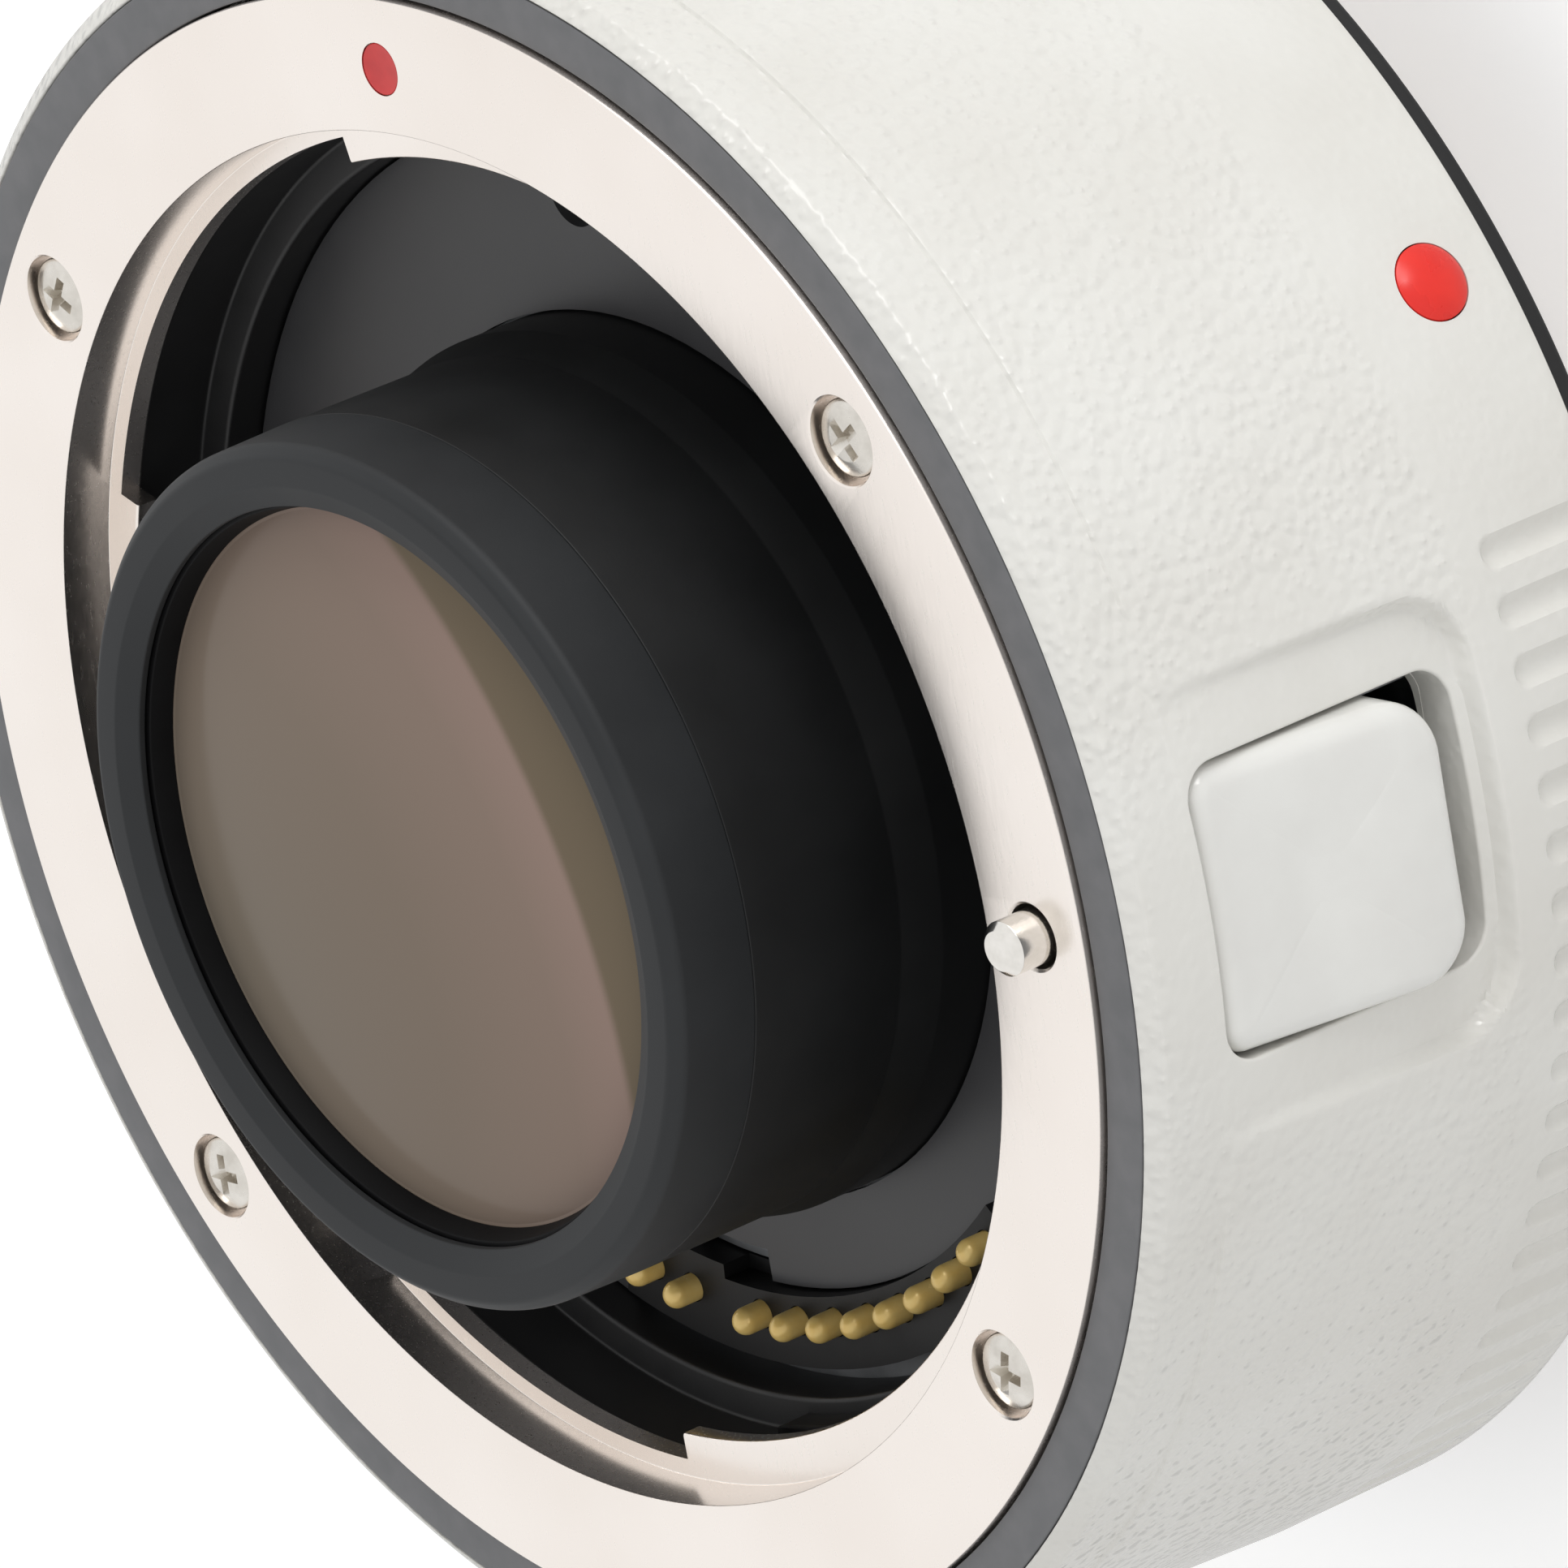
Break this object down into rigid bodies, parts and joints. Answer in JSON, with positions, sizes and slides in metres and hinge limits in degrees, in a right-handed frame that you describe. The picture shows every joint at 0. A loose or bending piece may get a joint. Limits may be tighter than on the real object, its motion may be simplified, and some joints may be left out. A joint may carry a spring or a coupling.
{
  "type": "camera teleconverter",
  "caption": "Short pale camera teleconverter: female lens bayonet with a sliding lens release in front, protruding hooded lens cell, sprung contacts, male camera bayonet behind.",
  "frame": {"origin": "centre of the camera-side flange face, on the optical axis", "axes": "+Z along the optical axis towards the lens side, +Y towards the red index of the lens-side mount face, +X towards the release lever"},
  "size_m": [0.0724, 0.0718, 0.0406],
  "materials": {
    "barrel_paint": "off-white paint with a fine pebbled texture",
    "lever_paint": "smooth pale grey, softly glossy",
    "trim_grey": "satin dark grey",
    "mount_steel": "turned and polished",
    "screw_steel": "bright, machined",
    "spring_steel": "bright spring steel",
    "index_red": "glossy red",
    "black_plastic": "matt black moulding",
    "plate_black": "satin charcoal",
    "gold_plate": "gold plated, polished",
    "cell_black": "matt black anodised",
    "hood_black": "matt black moulded rubber",
    "gasket_black": "matt black",
    "frame_alloy": "cast and machined",
    "board_green": "solder mask",
    "chip_black": "moulded packages",
    "ribbon_amber": "polyimide film",
    "coated_glass": "polished, coated"
  },
  "bodies": {
    "housing": {"outer_barrel": "barrel_paint", "front_trim_ring": "trim_grey", "lens_mount_ring": "mount_steel", "rear_mount_ring": "mount_steel", "rear_bayonet_tube": "mount_steel", "rear_bayonet_lugs": "mount_steel", "lens_mount_screws": "screw_steel", "rear_mount_screws": "screw_steel", "board_screws": "screw_steel", "bayonet_springs": "spring_steel", "contact_springs": "spring_steel", "return_spring": "spring_steel", "mount_index_dot": "index_red", "barrel_index_dot": "index_red", "throat_lining": "black_plastic", "front_contact_block": "black_plastic", "rear_contact_block": "black_plastic", "rear_baffle": "black_plastic", "front_cover_plate": "plate_black", "cover_screws": "plate_black", "rear_contact_pads": "gold_plate", "lens_cell": "cell_black", "front_retaining_ring": "cell_black", "lens_spacer": "cell_black", "rear_retaining_ring": "cell_black", "cell_lock_ring": "cell_black", "front_hood": "hood_black", "rear_gasket": "gasket_black", "core_frame": "frame_alloy", "rear_frame": "frame_alloy", "main_board": "board_green", "board_chips": "chip_black", "flex_ribbon": "ribbon_amber", "lens_element_1": "coated_glass", "lens_element_2": "coated_glass", "lens_element_3": "coated_glass", "lens_element_4": "coated_glass", "lens_element_5": "coated_glass", "lens_element_6": "coated_glass", "lens_element_7": "coated_glass"},
    "release_slider": {"release_lever": "lever_paint", "slider_plate": "screw_steel", "lock_pin": "screw_steel", "lever_screws": "screw_steel"},
    "contact_pin_1": {"contact_pin_1": "gold_plate"},
    "contact_pin_2": {"contact_pin_2": "gold_plate"},
    "contact_pin_3": {"contact_pin_3": "gold_plate"},
    "contact_pin_4": {"contact_pin_4": "gold_plate"},
    "contact_pin_5": {"contact_pin_5": "gold_plate"},
    "contact_pin_6": {"contact_pin_6": "gold_plate"},
    "contact_pin_7": {"contact_pin_7": "gold_plate"},
    "contact_pin_8": {"contact_pin_8": "gold_plate"},
    "contact_pin_9": {"contact_pin_9": "gold_plate"},
    "contact_pin_10": {"contact_pin_10": "gold_plate"}
  },
  "joints": [
    {"name": "release_slide", "type": "slide", "parent": "housing", "child": "release_slider", "axis": [0, 0, -1], "range_m": [0, 0.0017], "stiffness_N_per_m": 400, "springref_m": -0.004, "deforming": ["return_spring"]},
    {"name": "contact_pin_1_slide", "type": "slide", "parent": "housing", "child": "contact_pin_1", "axis": [0, 0, -1], "range_m": [0, 0.0008], "stiffness_N_per_m": 150, "springref_m": -0.003, "deforming": ["contact_springs"]},
    {"name": "contact_pin_2_slide", "type": "slide", "parent": "housing", "child": "contact_pin_2", "axis": [0, 0, -1], "range_m": [0, 0.0008], "stiffness_N_per_m": 150, "springref_m": -0.003, "deforming": ["contact_springs"]},
    {"name": "contact_pin_3_slide", "type": "slide", "parent": "housing", "child": "contact_pin_3", "axis": [0, 0, -1], "range_m": [0, 0.0008], "stiffness_N_per_m": 150, "springref_m": -0.003, "deforming": ["contact_springs"]},
    {"name": "contact_pin_4_slide", "type": "slide", "parent": "housing", "child": "contact_pin_4", "axis": [0, 0, -1], "range_m": [0, 0.0008], "stiffness_N_per_m": 150, "springref_m": -0.003, "deforming": ["contact_springs"]},
    {"name": "contact_pin_5_slide", "type": "slide", "parent": "housing", "child": "contact_pin_5", "axis": [0, 0, -1], "range_m": [0, 0.0008], "stiffness_N_per_m": 150, "springref_m": -0.003, "deforming": ["contact_springs"]},
    {"name": "contact_pin_6_slide", "type": "slide", "parent": "housing", "child": "contact_pin_6", "axis": [0, 0, -1], "range_m": [0, 0.0008], "stiffness_N_per_m": 150, "springref_m": -0.003, "deforming": ["contact_springs"]},
    {"name": "contact_pin_7_slide", "type": "slide", "parent": "housing", "child": "contact_pin_7", "axis": [0, 0, -1], "range_m": [0, 0.0008], "stiffness_N_per_m": 150, "springref_m": -0.003, "deforming": ["contact_springs"]},
    {"name": "contact_pin_8_slide", "type": "slide", "parent": "housing", "child": "contact_pin_8", "axis": [0, 0, -1], "range_m": [0, 0.0008], "stiffness_N_per_m": 150, "springref_m": -0.003, "deforming": ["contact_springs"]},
    {"name": "contact_pin_9_slide", "type": "slide", "parent": "housing", "child": "contact_pin_9", "axis": [0, 0, -1], "range_m": [0, 0.0008], "stiffness_N_per_m": 150, "springref_m": -0.003, "deforming": ["contact_springs"]},
    {"name": "contact_pin_10_slide", "type": "slide", "parent": "housing", "child": "contact_pin_10", "axis": [0, 0, -1], "range_m": [0, 0.0008], "stiffness_N_per_m": 150, "springref_m": -0.003, "deforming": ["contact_springs"]}
  ]
}
